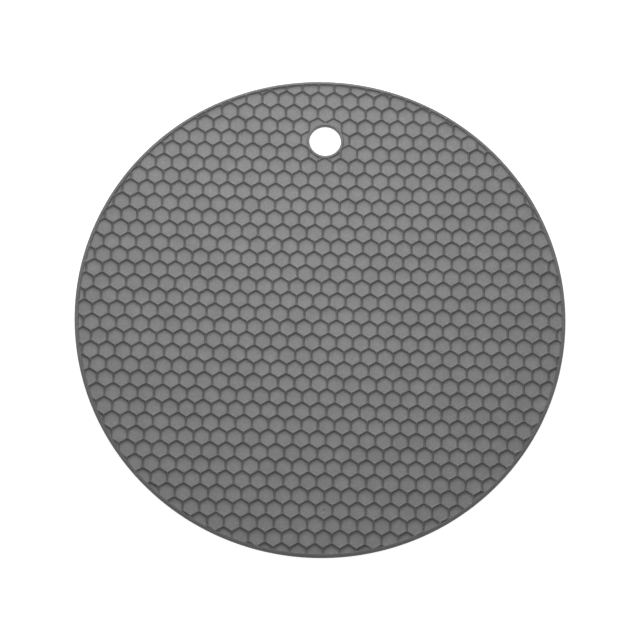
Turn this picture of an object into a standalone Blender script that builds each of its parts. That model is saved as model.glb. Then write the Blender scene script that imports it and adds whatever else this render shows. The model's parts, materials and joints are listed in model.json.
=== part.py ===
# Jar opener mat, moulded in one piece from grey silicone rubber.
# A raised rim runs round the disc and a raised ring round the hang hole. Between the two, thin
# ridges divide the upper face into hexagonal pockets, which grip a lid.
# Units are metres. The origin is the centre of the disc on its underside, +Y runs towards the
# hang hole and +Z out of the upper face.

import math

import bmesh
import bpy
from mathutils import Matrix, Vector
from mathutils.geometry import intersect_line_sphere_2d

# Disc and rim
DISC_DIAMETER = 0.180
DISC_SIDES = 60
RIM_WIDTH = 0.0012
FLOOR_THICKNESS = 0.0017    # from the underside to the floors of the pockets

# Hang hole and ring
HOLE_DIAMETER = 0.012
HOLE_INSET = 0.0233         # from the edge of the disc to the middle of the hole
HOLE_SIDES = 24
RING_WIDTH = 0.0006

# Honeycomb: hexagons with a corner towards +Y, one of them centred on the hang hole
CELL_PITCH = 0.00598        # from flat to flat, which is from middle to middle in a row
RIDGE_HEIGHT = 0.0010       # the rim and the ring stand as high as the ridges
RIDGE_WIDTH = 0.0009        # at the foot, from where both sides slope up to a crest
ROW_SHARE = math.sqrt(3) / 2        # distance between rows, as a share of the pitch
CORNER_SHARE = 1 / math.sqrt(3)     # middle of a cell to its corner, as a share of the pitch

# Cells that the rim or the ring cuts, by their share of a whole cell's area
FLOORED_SHARE = 0.95        # from here on a cell has a flat floor, and below it a pointed one
POINTED_SHARE = 0.13        # below this it has no pocket
CLOSE_SHARE = 0.04          # points nearer than this share of the pitch are one point

SMOOTH_ANGLE = math.radians(30)     # edges that bend more than this stay sharp

# Silicone rubber
RUBBER_COLOR = (0.17, 0.17, 0.17, 1.0)
RUBBER_ROUGHNESS = 0.55

# Derived places
DISC_RADIUS = DISC_DIAMETER / 2
HOLE_RADIUS = HOLE_DIAMETER / 2
THICKNESS = FLOOR_THICKNESS + RIDGE_HEIGHT
DISC_CENTRE = Vector((0, 0))
HOLE_CENTRE = Vector((0, DISC_RADIUS - HOLE_INSET))
FIELD_RADIUS = DISC_RADIUS - RIM_WIDTH              # the honeycomb ends at the rim
RING_RADIUS = HOLE_RADIUS + RING_WIDTH              # and begins at the ring
CELL_AREA = ROW_SHARE * CELL_PITCH ** 2
FLOOR_SHARE = 1 - RIDGE_WIDTH / CELL_PITCH          # width of a pocket's floor by that of its cell
CLOSE_DISTANCE = CLOSE_SHARE * CELL_PITCH


def clear_scene():
    for item in list(bpy.data.objects):
        bpy.data.objects.remove(item, do_unlink=True)


def silicone_rubber():
    # Dull grey rubber, the same all through
    material = bpy.data.materials.new("grey_silicone")
    material.use_nodes = True
    shader = material.node_tree.nodes["Principled BSDF"]
    shader.inputs["Base Color"].default_value = RUBBER_COLOR
    shader.inputs["Roughness"].default_value = RUBBER_ROUGHNESS
    shader.inputs["Metallic"].default_value = 0.0
    return material


def hexagon(middle):
    # Corners of a whole cell, counterclockwise
    corners = []
    for number in range(6):
        angle = math.tau * (number + 0.5) / 6
        corner = Vector((math.cos(angle), math.sin(angle)))
        corners.append(middle + CORNER_SHARE * CELL_PITCH * corner)
    return corners


def cell_middles():
    # Rows of cells that reach past the disc, every other row moved along by half a pitch
    row_height = ROW_SHARE * CELL_PITCH
    rows = math.ceil(DISC_DIAMETER / row_height)
    columns = math.ceil(DISC_RADIUS / CELL_PITCH) + 1
    for row in range(-rows, rows + 1):
        shift = CELL_PITCH / 2 if row % 2 else 0
        for column in range(-columns, columns + 1):
            yield HOLE_CENTRE + Vector((column * CELL_PITCH + shift, row * row_height))


def ring_arc(start, end):
    # Even points of the ring's outer circle that lie clockwise between two others on it
    step = math.tau / HOLE_SIDES
    first = -math.atan2(start.y - HOLE_CENTRE.y, start.x - HOLE_CENTRE.x)
    last = -math.atan2(end.y - HOLE_CENTRE.y, end.x - HOLE_CENTRE.x)
    if last < first:
        last += math.tau
    points = []
    for number in range(math.ceil(first / step), math.floor(last / step) + 1):
        angle = -number * step
        point = HOLE_CENTRE + RING_RADIUS * Vector((math.cos(angle), math.sin(angle)))
        if min((point - start).length, (point - end).length) > CLOSE_DISTANCE:
            points.append(point)
    return points


def trim(outline, centre, radius, keep_inside):
    # Cuts a counterclockwise outline along a circle and keeps the part inside or outside it.
    # Each kept point comes with a note of whether the outline leaves the kept part there.
    kept = []
    for start, end in zip(outline, outline[1:] + outline[:1]):
        if ((start - centre).length < radius) == keep_inside:
            kept.append((start, False))
        hits = intersect_line_sphere_2d(start, end, centre, radius, True)
        hits = [hit for hit in hits if hit is not None]
        for hit in sorted(hits, key=lambda hit: (hit - start).length):
            outwards = (hit - centre).dot(end - start) > 0
            kept.append((hit, outwards == keep_inside))
    return kept


def cell_outline(middle):
    # A cell as far as it lies inside the rim and outside the ring
    in_rim = [point for point, leaves in trim(hexagon(middle), DISC_CENTRE, FIELD_RADIUS, True)]
    outline = []
    off_ring = trim(in_rim, HOLE_CENTRE, RING_RADIUS, False)
    for number, (point, leaves) in enumerate(off_ring):
        outline.append(point)
        if leaves:
            outline += ring_arc(point, off_ring[(number + 1) % len(off_ring)][0])
    return outline


def area_and_balance(outline):
    # Area of a flat outline, and the point that it would balance on
    first = outline[0]
    doubled = 0
    moment = Vector((0, 0))
    for left, right in zip(outline[1:], outline[2:]):
        part = (left - first).cross(right - first)
        doubled += part
        moment += part * (first + left + right) / 3
    return doubled / 2, moment / doubled


def add_cells(bm):
    # One face to a cell, level with the crests of the ridges, which are the edges between cells
    for middle in cell_middles():
        outline = cell_outline(middle)
        if len(outline) > 2:
            bm.faces.new([bm.verts.new((*point, THICKNESS)) for point in outline])
    bmesh.ops.remove_doubles(bm, verts=bm.verts, dist=CLOSE_DISTANCE)


def sink_pockets(bm):
    # Sinks each cell between its ridges. A floor is its cell's outline shrunk to the ridges' feet.
    floored = []
    for face in list(bm.faces):
        area, balance = area_and_balance([corner.co.xy for corner in face.verts])
        area_share = area / CELL_AREA
        if area_share > FLOORED_SHARE:
            floored.append((face, balance))
        elif area_share > POINTED_SHARE:
            point = bmesh.ops.poke(bm, faces=[face])["verts"][0]
            point.co = (*balance, THICKNESS - RIDGE_HEIGHT * math.sqrt(area_share))
    bmesh.ops.inset_individual(bm, faces=[face for face, balance in floored])
    for face, balance in floored:
        for corner in face.verts:
            corner.co = (*balance.lerp(corner.co.xy, FLOOR_SHARE), FLOOR_THICKNESS)


def open_loop(bm, centre, radius):
    # Open edges of the honeycomb that lie on one circle
    loop = []
    for edge in bm.edges:
        offsets = [abs((corner.co.xy - centre).length - radius) for corner in edge.verts]
        if edge.is_boundary and max(offsets) < CLOSE_DISTANCE:
            loop.append(edge)
    return loop


def add_wall(bm, centre, radius, sides, field_radius):
    # The flat top of the rim or the ring, out to a circle, and the round wall down from there.
    # Returns the lower edge of the wall.
    inner = open_loop(bm, centre, field_radius)
    place = Matrix.Translation((*centre, THICKNESS))
    corners = bmesh.ops.create_circle(bm, segments=sides, radius=radius, matrix=place)["verts"]
    upper = list({edge for corner in corners for edge in corner.link_edges})
    bmesh.ops.triangle_fill(bm, use_beauty=True, edges=inner + upper)
    swept = bmesh.ops.extrude_edge_only(bm, edges=upper)["geom"]
    lower = [item for item in swept if isinstance(item, bmesh.types.BMEdge)]
    for corner in {corner for edge in lower for corner in edge.verts}:
        corner.co.z = 0
    return lower


def jar_opener_mat():
    bm = bmesh.new()
    add_cells(bm)
    sink_pockets(bm)
    disc_edge = add_wall(bm, DISC_CENTRE, DISC_RADIUS, DISC_SIDES, FIELD_RADIUS)
    hole_edge = add_wall(bm, HOLE_CENTRE, HOLE_RADIUS, HOLE_SIDES, RING_RADIUS)
    bmesh.ops.triangle_fill(bm, use_beauty=True, edges=disc_edge + hole_edge)
    bmesh.ops.recalc_face_normals(bm, faces=bm.faces)

    mesh = bpy.data.meshes.new("mat")
    bm.to_mesh(mesh)
    bm.free()
    mesh.shade_smooth()
    mesh.set_sharp_from_angle(angle=SMOOTH_ANGLE)
    mesh.materials.append(silicone_rubber())
    mat = bpy.data.objects.new("mat", mesh)
    bpy.context.scene.collection.objects.link(mat)


clear_scene()
jar_opener_mat()
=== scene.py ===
import json
import math

import bmesh
import bpy
import numpy as np
from mathutils import Matrix, Vector


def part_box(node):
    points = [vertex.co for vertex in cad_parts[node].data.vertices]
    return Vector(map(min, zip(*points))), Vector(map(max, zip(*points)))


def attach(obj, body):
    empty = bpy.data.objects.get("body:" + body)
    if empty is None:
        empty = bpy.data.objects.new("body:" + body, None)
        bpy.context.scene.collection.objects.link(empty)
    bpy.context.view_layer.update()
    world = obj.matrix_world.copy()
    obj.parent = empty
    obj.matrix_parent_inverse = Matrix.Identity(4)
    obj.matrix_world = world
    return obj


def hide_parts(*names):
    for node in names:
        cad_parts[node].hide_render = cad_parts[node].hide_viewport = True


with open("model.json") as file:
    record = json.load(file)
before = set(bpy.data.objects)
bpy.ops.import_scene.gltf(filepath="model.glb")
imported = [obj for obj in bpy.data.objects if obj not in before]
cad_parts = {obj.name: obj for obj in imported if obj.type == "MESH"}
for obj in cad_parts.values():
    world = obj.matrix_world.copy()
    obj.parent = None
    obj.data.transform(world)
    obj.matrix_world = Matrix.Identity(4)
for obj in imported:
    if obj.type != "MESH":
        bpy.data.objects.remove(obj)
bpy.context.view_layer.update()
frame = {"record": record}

# A round jar opener mat of grey silicone rubber, with a honeycomb of shallow pockets moulded into
# both faces, a raised rim and a ringed hang hole. The mat's shapes are worked out in millimetres,
# and the stage, the lamps and the camera are given in metres.

millimetre = 0.001
matLow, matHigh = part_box("mat")
discRadius = (matHigh.x - matLow.x) / 2 / millimetre
thickness = (matHigh.z - matLow.z) / millimetre
holeBox = np.array(frame["record"]["physics"]["openings"][0]["box_m"])
discMiddle = np.zeros(2)
holeMiddle = holeBox[:, :2].mean(axis=0) / millimetre
print("frame: disc radius %.2f, thickness %.2f, hole at %s" % (discRadius, thickness, holeMiddle))


# Honeycomb

honeycomb = {
    "pitch": 5.968,                 # a cell from flat to flat
    "shift": (0.05, 0.23),          # from the hole's middle to that of the cell round it
    "rimWidth": 1.10,               # rim, as far as the crest where the pockets begin
    "ringRadius": 6.60,             # crest of the ring round the hole
    "ringShift": (0.15, -0.25),     # from the hole's middle to the ring's
    # Section of a pocket, from the crest beside it to the edge of its floor
    "ridgeSlope": (0.02, 0.06, 0.46, 0.68),     # distances from the crest of a ridge
    "edgeSlope": (0.06, 0.16, 0.40, 0.60),      # distances from the crest of the rim or the ring
    "depths": (0.03, 0.14, 1.06, 1.18),         # depths at either
    "lowerShare": 0.6,              # depth of the lower face's pockets by that of the upper one's
    "fullReach": 0.70,              # least room round a pocket's middle for the whole section
    "ringShare": 0.65,              # section of the pockets cut by the ring, by that of the rest
    "cornerReach": 0.42,            # a pocket's corners are cut this far along both sides
    "arcStep": 1.7,                 # longest chord round the rim and the ring
}
fieldRadius = discRadius - honeycomb["rimWidth"]
ringRadius = honeycomb["ringRadius"]
ringMiddle = holeMiddle + honeycomb["ringShift"]
touching = 0.001                    # points nearer than this are one point


def turned(angle):
    # Unit vectors at these angles
    return np.stack([np.cos(angle), np.sin(angle)], axis=-1)


def lengthOf(vector):
    return np.hypot(vector[..., 0], vector[..., 1])


def angleOf(vector):
    return np.arctan2(vector[..., 1], vector[..., 0])


sideNormals = turned(np.arange(6) * math.tau / 6)


def cellMiddles():
    # Middles of the cells that may reach into the field, counted from the hang hole: rows three
    # quarters of a corner-to-corner width apart, every other row moved along by half a pitch
    pitch = honeycomb["pitch"]
    rowGap = pitch * math.sqrt(3) / 2
    count = math.ceil(2 * discRadius / rowGap)
    row, column = np.mgrid[-count:count + 1, -count:count + 1]
    x = (column + row % 2 / 2) * pitch
    y = row * rowGap
    middles = holeMiddle + honeycomb["shift"] + np.stack([x.ravel(), y.ravel()], axis=1)
    return middles[lengthOf(middles) < fieldRadius + pitch]


def circleCrossings(start, along, middle, radius):
    # Shares of the way along a line at which it enters and leaves a circle, where the square of
    # the distance from the middle is that of the radius
    offset = start - middle
    square = (along ** 2).sum(axis=-1)
    slant = (offset * along).sum(axis=-1) / square
    room = slant ** 2 - ((offset ** 2).sum(axis=-1) - radius ** 2) / square
    room = np.sqrt(np.where(room > 0, room, np.nan))
    return -slant - room, -slant + room


def followingInCell(cell):
    # Index of the next entry round the same cell, where entries stand in order cell by cell
    last = np.append(cell[1:] != cell[:-1], True)
    return np.where(last, np.searchsorted(cell, cell), np.arange(len(cell)) + 1)


def cellOutlines(middles):
    # Outline of each cell inside the rim and outside the ring, counterclockwise, as whole arrays.
    # A side is a straight line between its kept ends, and where the rim or the ring cuts a cell an
    # arc joins the sides. Each point comes with an aim: the same point, moved off the nearest
    # corner, which is what rounds the corners of the pocket below.
    corner = turned((np.arange(6) - 0.5) * math.tau / 6) * honeycomb["pitch"] / math.sqrt(3)
    corners = middles[:, None] + corner
    along = np.roll(corners, -1, axis=1) - corners
    enters, leaves = circleCrossings(corners, along, discMiddle, fieldRadius)
    first = np.nan_to_num(np.maximum(enters, 0), nan=1.0)
    last = np.nan_to_num(np.minimum(leaves, 1), nan=0.0)
    enters, leaves = circleCrossings(corners, along, ringMiddle, ringRadius)
    inRing = lengthOf(corners - ringMiddle) < ringRadius
    first = np.where(inRing, np.maximum(first, leaves), first)
    last = np.where(np.roll(inRing, -1, axis=1), np.minimum(last, enters), last)
    cell, side = np.nonzero(last - first > touching)
    start = corners[cell, side] + first[cell, side, None] * along[cell, side]
    end = corners[cell, side] + last[cell, side, None] * along[cell, side]

    # Arcs, each from one kept side to the next
    onward = start[followingInCell(cell)]
    gap = np.nonzero(lengthOf(onward - end) > touching)[0]
    onRim = np.abs(lengthOf(end[gap]) - fieldRadius) < touching
    arcMiddle = np.where(onRim[:, None], discMiddle, ringMiddle)
    arcRadius = np.where(onRim, fieldRadius, ringRadius)
    fromAngle = angleOf(end[gap] - arcMiddle)
    toAngle = angleOf(onward[gap] - arcMiddle)
    sweep = (toAngle - fromAngle + math.pi) % math.tau - math.pi
    arcLength = np.abs(sweep) * arcRadius

    # Sides and arcs in order round each cell, and the points along each of them
    sideCount = len(cell)
    order = np.argsort(np.append(2 * np.arange(sideCount), 2 * gap + 1))
    length = np.append(lengthOf(end - start), arcLength)[order]
    chords = np.append(np.ones(sideCount), np.ceil(arcLength / honeycomb["arcStep"]))[order]
    counts = chords.astype(int) + 1
    piece = np.repeat(np.arange(len(order)), counts)
    step = np.arange(len(piece)) - np.repeat(np.cumsum(counts) - counts, counts)
    share = step / (counts - 1)[piece]
    clear = np.minimum(honeycomb["cornerReach"] / length, 0.5)[piece]
    source = order[piece]
    isArc = source >= sideCount
    line = np.where(isArc, 0, source)
    arc = np.where(isArc, source - sideCount, 0)

    def pointAt(share):
        onSide = start[line] + share[:, None] * (end - start)[line]
        angle = fromAngle[arc] + share * sweep[arc]
        onArc = arcMiddle[arc] + arcRadius[arc, None] * turned(angle)
        return np.where(isArc[:, None], onArc, onSide)

    pointCell = np.append(cell, cell[gap])[source]
    return pointCell, pointAt(share), pointAt(np.clip(share, clear, 1 - clear))


def balancePoints(cell, point, cells):
    # The point that each cell's outline would balance on: the mean of the middles of the triangles
    # that fan out from its first point, weighted by their areas
    onward = point[followingInCell(cell)]
    base = point[np.searchsorted(cell, cell)]
    cross = np.cross(point - base, onward - base)
    area = np.bincount(cell, cross, cells)
    area = np.where(area > 0, area, 1)
    total = (base + point + onward).T
    return np.stack([np.bincount(cell, cross * part, cells) / area / 3 for part in total], axis=1)


def gapsToSides(middle, balance):
    # Distances from a cell's balance point to the lines of its six sides
    return honeycomb["pitch"] / 2 - (balance - middle) @ sideNormals.T


def distanceTo(sideInset, edgeInset, middle, balance, direction):
    # How far a line from a cell's balance point runs in this direction before it comes within the
    # one inset of a side or the other inset of the rim or the ring
    facing = direction @ sideNormals.T
    toSides = (gapsToSides(middle, balance) - sideInset[:, None]) / np.maximum(facing, touching)
    toSides = np.where(facing > touching, toSides, np.inf)
    toRim = circleCrossings(balance, direction, discMiddle, fieldRadius - edgeInset)[1]
    toRing = circleCrossings(balance, direction, ringMiddle, ringRadius + edgeInset)[0]
    toRing = np.where(toRing > 0, toRing, np.inf)
    return np.minimum(toSides.min(axis=1), np.minimum(toRim, toRing))


pin = {
    "middle": (2.85, -72.95),       # opposite the hole, where a pin of the mould ends in a pocket
    "section": ((0.90, 0.0), (0.80, 0.03), (0.62, 0.20), (0.44, 0.23)),     # radius, depth
}


def pinMark(outline, level):
    # The floor of one pocket with a shallow round mark pressed into it: rings of points in the
    # directions of the floor's own corners and halfway between them
    angle = angleOf(outline[:, :2] - pin["middle"])
    step = (np.roll(angle, -1) - angle) % math.tau
    angle = np.stack([angle, angle + step / 2], axis=1).ravel()
    rows = [outline]
    for radius, depth in pin["section"]:
        ring = pin["middle"] + radius * turned(angle)
        rows.append(np.column_stack([ring, np.full(len(angle), level - depth)]))
    rows.append(np.array([[*pin["middle"], level - pin["section"][-1][1]]]))
    count, around = len(outline), len(angle)
    corner = np.arange(count)
    nextCorner = (corner + 1) % count
    ring = count + np.arange(around)
    even, odd, nextEven = ring[::2], ring[1::2], np.roll(ring[::2], -1)
    triangles = [(corner, odd, even), (corner, nextCorner, odd), (nextCorner, nextEven, odd)]
    here, there = ring, np.roll(ring, -1)
    for _ in pin["section"][1:]:
        triangles.append((here, there, there + around))
        triangles.append((here, there + around, here + around))
        here, there = here + around, there + around
    triangles.append((here, there, np.full(around, here[-1] + 1)))
    return np.concatenate(rows), np.concatenate([np.stack(ends, axis=1) for ends in triangles])


def pocketedFace(marked):
    # Upper face of the honeycomb: a pocket is a function of the direction from its balance point
    # and of the distance from the crest round it, at which its section gives the depth
    middles = cellMiddles()
    cell, point, aim = cellOutlines(middles)
    balances = balancePoints(cell, point, len(middles))
    middle, balance = middles[cell], balances[cell]
    room = gapsToSides(middle, balance).min(axis=1)
    room = np.minimum(room, fieldRadius - lengthOf(balance))
    room = np.minimum(room, lengthOf(balance - ringMiddle) - ringRadius)
    scale = np.clip(room / honeycomb["fullReach"], 0, 1)
    onRing = np.abs(lengthOf(point - ringMiddle) - ringRadius) < touching
    scale *= np.where(np.bincount(cell, onRing)[cell] > 0, honeycomb["ringShare"], 1)
    direction = aim - balance
    direction /= lengthOf(direction)[:, None]

    rows = [np.column_stack([point, np.full(len(point), thickness)])]
    sections = zip(honeycomb["ridgeSlope"], honeycomb["edgeSlope"], honeycomb["depths"])
    for side, edge, depth in sections:
        reach = distanceTo(side * scale, edge * scale, middle, balance, direction)
        place = balance + reach[:, None] * direction
        rows.append(np.column_stack([place, thickness - depth * scale]))
    floorDepth = honeycomb["depths"][-1]
    rows.append(np.column_stack([balance, thickness - floorDepth * scale]))
    points = np.concatenate(rows)

    count = len(cell)
    here = np.arange(count)
    there = followingInCell(cell)
    wall = np.stack([here, there, there + count, here + count], axis=1)
    walls = np.concatenate([wall + row * count for row in range(len(rows) - 2)])
    floors = np.stack([here, there, here + count], axis=1) + (len(rows) - 2) * count
    if marked:
        inCell = cell == np.argmin(lengthOf(middles - pin["middle"]))
        extra, triangles = pinMark(rows[-2][inCell], thickness - floorDepth)
        floors = np.concatenate([floors[~inCell], triangles + len(points)])
        points = np.concatenate([points, extra])
    return points, walls, floors, point


# Rim and ring

edges = {
    "holeRadius": 5.95,
    "holeShift": (0.10, -0.10),     # from the hole's middle in the frame to that of its wall here
    "rimRound": 1.25,               # radius of the disc's edge, above and below
    "holeRound": 0.30,              # radius of the hole's edge, above and below
    "crestGap": 0.01,               # least distance from a crest to the rounding beyond it
    "roundSteps": 7,
    "seamHeight": 0.10,             # the mould's seam, a low bead halfway up the disc's edge
    "seamProud": 0.04,
}


def sweptEdge(crestMiddle, crestRadius, crest, middle, wallRadius, rounding, proud):
    # Rim or ring: a section carried round a circle, at the angles of the honeycomb's own points,
    # from the crest above, over a quarter round, down the wall and back to the crest below
    crest = crest[np.abs(lengthOf(crest - crestMiddle) - crestRadius) < touching]
    out = 1 if wallRadius > crestRadius else -1
    room = out * (wallRadius - crestRadius) - proud - edges["crestGap"]
    start = math.asin(max(0.0, 1 - room / rounding))    # cut short where the rim is too narrow
    angle = np.linspace(start, math.pi / 2, edges["roundSteps"])
    radius = wallRadius - out * (proud + rounding * (1 - np.sin(angle)))
    height = thickness - rounding * (1 - np.cos(angle))
    seam = edges["seamHeight"] / 2
    radius = np.concatenate([[crestRadius], radius, [radius[-1]], [wallRadius]])
    height = np.concatenate([[thickness], height, [thickness / 2 + seam], [thickness / 2]])
    radius = np.append(radius, radius[-2::-1])
    height = np.append(height, thickness - height[-2::-1])
    around = np.unique(np.round(angleOf(crest - crestMiddle), 6))     # neighbours share points
    ring = middle + radius[:, None, None] * turned(around)
    ring[[0, -1]] = crestMiddle + crestRadius * turned(around)
    level = np.repeat(height[:, None, None], len(around), axis=1)
    points = np.concatenate([ring, level], axis=2).reshape(-1, 3)
    index = np.arange(len(points)).reshape(len(radius), len(around))
    onward = np.roll(index, -1, axis=1)
    faces = np.stack([index[:-1], index[1:], onward[1:], onward[:-1]], axis=-1).reshape(-1, 4)
    return points, faces[:, ::out]


# Silicone rubber

silicone = {
    "name": "mouldedSiliconeRubber",
    "floorColor": "#7A7A7A",        # floors of the pockets
    "ridgeShadeColor": "#6A6A6A",        # ridges, rim and ring: painted shade, darker than the floors
    "shadeReach": 0.58,              # share of the way up a wall at which that painted shade is full
    "floorRoughness": 0.60,
    "ridgeRoughness": 0.50,
    "ior": 1.41,
    "mottle": ((7.0, 0.17), (0.9, 0.24)),   # the pigment's patches and specks: size, strength
    "grainSize": 0.30,              # the blasted grain, three times too coarse so that it shows
    "grainDepth": 0.006,
}


def linearColor(code):
    # sRGB hex to linear values
    value = np.array([int(code[place:place + 2], 16) for place in (1, 3, 5)]) / 255
    linear = np.where(value <= 0.04045, value / 12.92, ((value + 0.055) / 1.055) ** 2.4)
    return (*linear.tolist(), 1.0)


def addNode(tree, kind, inputs=(), **settings):
    # One node with its settings, and its sockets linked or set
    node = tree.nodes.new(kind)
    for name, value in settings.items():
        setattr(node, name, value)
    for socket, value in inputs:
        if isinstance(value, bpy.types.NodeSocket):
            tree.links.new(value, node.inputs[socket])
        else:
            node.inputs[socket].default_value = value
    return node


def siliconeMaterial():
    # Compression-moulded silicone rubber, filled with grey pigment: opaque, dull, slightly waxy.
    # The ridges, rim and ring are painted darker than the pockets' floors as painted shade, and
    # the floors are rougher than the ridges.
    material = bpy.data.materials.new(silicone["name"])
    material.use_nodes = True
    tree = material.node_tree
    shader = tree.nodes["Principled BSDF"]
    shader.inputs["IOR"].default_value = silicone["ior"]
    place = addNode(tree, "ShaderNodeTexCoord").outputs["Object"]
    relief = addNode(tree, "ShaderNodeAttribute", attribute_name="relief").outputs["Fac"]
    # Painted shade: the higher up a wall, the darker the colour, up to the ridges, rim and ring;
    # the same share makes the ridges smoother
    ridge = addNode(tree, "ShaderNodeMapRange",
                    [("Value", relief), ("From Max", silicone["shadeReach"])],
                    interpolation_type="SMOOTHSTEP").outputs["Result"]
    color = addNode(tree, "ShaderNodeMixRGB",
                    [("Fac", ridge), ("Color1", linearColor(silicone["floorColor"])),
                     ("Color2", linearColor(silicone["ridgeShadeColor"]))]).outputs[0]
    for size, strength in silicone["mottle"]:
        noise = addNode(tree, "ShaderNodeTexNoise",
                        [("Vector", place), ("Scale", 1 / (size * millimetre))])
        level = addNode(tree, "ShaderNodeMapRange",
                        [("Value", noise.outputs[0]), ("To Min", 1 - strength),
                         ("To Max", 1 + strength)])
        color = addNode(tree, "ShaderNodeVectorMath", [(0, color), (1, level.outputs["Result"])],
                        operation="MULTIPLY").outputs[0]
    tree.links.new(color, shader.inputs["Base Color"])
    rough = addNode(tree, "ShaderNodeMapRange",
                    [("Value", ridge), ("To Min", silicone["floorRoughness"]),
                     ("To Max", silicone["ridgeRoughness"])]).outputs["Result"]
    tree.links.new(rough, shader.inputs["Roughness"])
    grain = addNode(tree, "ShaderNodeTexNoise",
                    [("Vector", place), ("Scale", 1 / (silicone["grainSize"] * millimetre))])
    bump = addNode(tree, "ShaderNodeBump",
                   [("Height", grain.outputs[0]),
                    ("Distance", silicone["grainDepth"] * millimetre)])
    tree.links.new(bump.outputs[0], shader.inputs["Normal"])
    return material


def buildMat():
    # Both faces, the lower one being the upper one turned over and made shallower, joined by the
    # rim and the ring
    upper, walls, floors, crest = pocketedFace(marked=True)
    lower, lowerWalls, lowerFloors = pocketedFace(marked=False)[:3]
    # Share of the way up from a pocket's floor to its crest, which places the material's painted
    # shade and its smoother finish on the ridges, rim and ring
    relief = [1 - (thickness - face[:, 2]) / honeycomb["depths"][-1] for face in (upper, lower)]
    lower[:, 2] = honeycomb["lowerShare"] * (thickness - lower[:, 2])
    allPoints = [upper, lower]
    quads = [walls, lowerWalls[:, ::-1] + len(upper)]
    triangles = [floors, lowerFloors[:, ::-1] + len(upper)]
    offset = len(upper) + len(lower)
    rim = sweptEdge(discMiddle, fieldRadius, crest, discMiddle, discRadius,
                    edges["rimRound"], edges["seamProud"])
    ring = sweptEdge(ringMiddle, ringRadius, crest, holeMiddle + edges["holeShift"],
                     edges["holeRadius"], edges["holeRound"], 0)
    for edgePoints, edgeFaces in (rim, ring):
        allPoints.append(edgePoints)
        relief.append(np.ones(len(edgePoints)))
        quads.append(edgeFaces + offset)
        offset += len(edgePoints)
    allPoints = np.concatenate(allPoints) * millimetre
    quads = np.concatenate(quads)
    triangles = np.concatenate(triangles)
    relief = np.concatenate(relief)

    mesh = bpy.data.meshes.new("siliconeMat")
    mesh.from_pydata(allPoints.tolist(), [], quads.tolist() + triangles.tolist())
    smooth = np.append(np.ones(len(quads), bool), np.zeros(len(triangles), bool))
    mesh.polygons.foreach_set("use_smooth", smooth)
    mesh.attributes.new("relief", "FLOAT", "POINT").data.foreach_set("value", relief)
    bm = bmesh.new()
    bm.from_mesh(mesh)
    bmesh.ops.remove_doubles(bm, verts=bm.verts, dist=touching * millimetre)
    openEdges = sum(1 for edge in bm.edges if len(edge.link_faces) != 2)
    bm.to_mesh(mesh)
    bm.free()
    mesh.materials.append(siliconeMaterial())
    mat = bpy.data.objects.new("siliconeMat", mesh)
    bpy.context.scene.collection.objects.link(mat)
    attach(mat, "root")
    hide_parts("mat")
    mesh.calc_loop_triangles()
    print("mat: %d triangles, %d open edges" % (len(mesh.loop_triangles), openEdges))


buildMat()


# Stage, light and camera

stage = {
    "floorSize": 6.0,
    "floorLevel": -0.00005,         # just clear of the crests that the mat lies on
    "floorColor": "#B0B0B0",
    "floorGlow": 0.90,              # added where the floor is looked at, and lights nothing
    "skyColor": "#FFFFFF",
    "backdrop": 1.0,                # strength of the sky where it is looked at
    "ambient": 0.36,                # strength of the sky as a light
}


def lookedAt(tree):
    # 1 for rays that look at a surface, straight or in a reflection or through glass, 0 for light
    path = addNode(tree, "ShaderNodeLightPath")
    seen = path.outputs["Is Camera Ray"]
    for name in ("Is Glossy Ray", "Is Transmission Ray"):
        seen = addNode(tree, "ShaderNodeMath", [(0, seen), (1, path.outputs[name])],
                       operation="MAXIMUM").outputs[0]
    return seen


def buildSky():
    world = bpy.data.worlds.new("studio")
    world.use_nodes = True
    tree = world.node_tree
    tree.nodes.clear()
    strength = addNode(tree, "ShaderNodeMapRange",
                       [("Value", lookedAt(tree)), ("To Min", stage["ambient"]),
                        ("To Max", stage["backdrop"])]).outputs["Result"]
    sky = addNode(tree, "ShaderNodeBackground",
                  [("Color", linearColor(stage["skyColor"])), ("Strength", strength)])
    addNode(tree, "ShaderNodeOutputWorld", [("Surface", sky.outputs[0])])
    bpy.context.scene.world = world


def buildFloor():
    half, level = stage["floorSize"] / 2, stage["floorLevel"]
    corners = [(x * half, y * half, level) for x, y in ((-1, -1), (1, -1), (1, 1), (-1, 1))]
    mesh = bpy.data.meshes.new("floor")
    mesh.from_pydata(corners, [], [(0, 1, 2, 3)])
    material = bpy.data.materials.new("paleFloor")
    material.use_nodes = True
    tree = material.node_tree
    tree.nodes.clear()
    paint = addNode(tree, "ShaderNodeBsdfDiffuse", [("Color", linearColor(stage["floorColor"]))])
    strength = addNode(tree, "ShaderNodeMath", [(0, lookedAt(tree)), (1, stage["floorGlow"])],
                       operation="MULTIPLY")
    glow = addNode(tree, "ShaderNodeEmission", [("Strength", strength.outputs[0])])
    both = addNode(tree, "ShaderNodeAddShader", [(0, paint.outputs[0]), (1, glow.outputs[0])])
    addNode(tree, "ShaderNodeOutputMaterial", [("Surface", both.outputs[0])])
    mesh.materials.append(material)
    floor = bpy.data.objects.new("floor", mesh)
    bpy.context.scene.collection.objects.link(floor)


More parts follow.
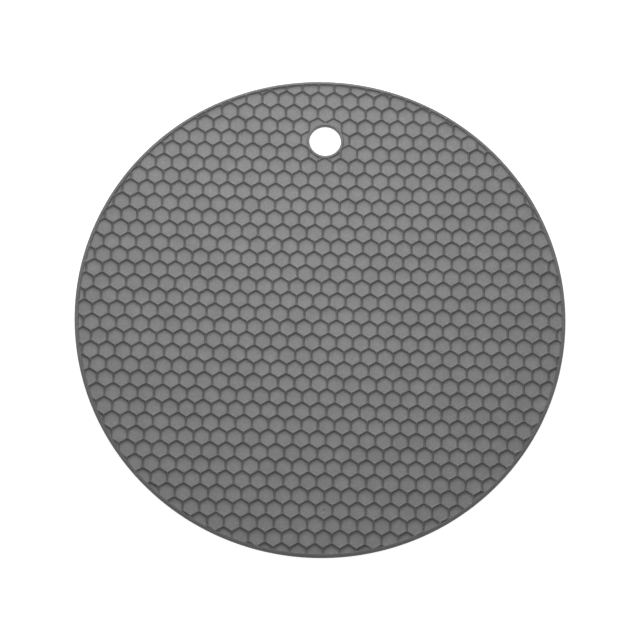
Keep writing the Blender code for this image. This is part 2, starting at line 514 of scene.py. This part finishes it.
lamps = {
    "softbox": {"place": (-0.026, 0.11, 0.25), "target": (0, 0.01, 0), "size": 0.22,
                "power": 0.150, "spread": 100},
    "backLight": {"place": (-0.026, 0.35, 0.25), "target": (0, 0.02, 0), "size": 0.30,
                  "power": 0.260, "spread": 100},
}


def addLamp(name, settings):
    # A round softbox, with a grid before it that keeps its light within the spread, in degrees
    lamp = bpy.data.lights.new(name, "AREA")
    lamp.shape = "DISK"
    lamp.size = settings["size"]
    lamp.energy = settings["power"]
    lamp.spread = math.radians(settings["spread"])
    holder = bpy.data.objects.new(name, lamp)
    place = Vector(settings["place"])
    holder.location = place
    aim = Vector(settings["target"]) - place
    holder.rotation_euler = aim.to_track_quat("-Z", "Y").to_euler()
    holder.visible_camera = False
    bpy.context.scene.collection.objects.link(holder)


buildSky()
buildFloor()
for name, settings in lamps.items():
    addLamp(name, settings)
print("stage: sky, floor and %d lamps" % len(lamps))

camera = {
    "lens": 137.7,                  # in millimetres, as is the sensor's width
    "sensor": 36.0,
    "azimuth": -3.082,              # in degrees, as are the other two angles
    "elevation": 75.83,
    "roll": 4.647,
    "distance": 0.8955,
    "target": (-0.00014, -0.00250, 0.0027),
}


def buildCamera():
    # Stands off from the target by the distance, at the azimuth and elevation, looks back at it,
    # and is then rolled about its own axis
    data = bpy.data.cameras.new("camera")
    data.lens = camera["lens"]
    data.sensor_width = camera["sensor"]
    azimuth, elevation, roll = (math.radians(camera[name]) for name in
                                ("azimuth", "elevation", "roll"))
    level = math.cos(elevation)
    back = Vector((math.sin(azimuth) * level, -math.cos(azimuth) * level, math.sin(elevation)))
    right = Vector((math.cos(azimuth), math.sin(azimuth), 0))
    turn = Matrix((right, back.cross(right), back)).transposed() @ Matrix.Rotation(roll, 3, "Z")
    place = Vector(camera["target"]) + camera["distance"] * back
    holder = bpy.data.objects.new("camera", data)
    holder.matrix_world = Matrix.Translation(place) @ turn.to_4x4()
    bpy.context.scene.collection.objects.link(holder)
    bpy.context.scene.camera = holder
    print("camera: %.1f mm lens, at %.2f degrees" % (camera["lens"], camera["elevation"]))


buildCamera()
bpy.context.scene.view_settings.view_transform = "Standard"
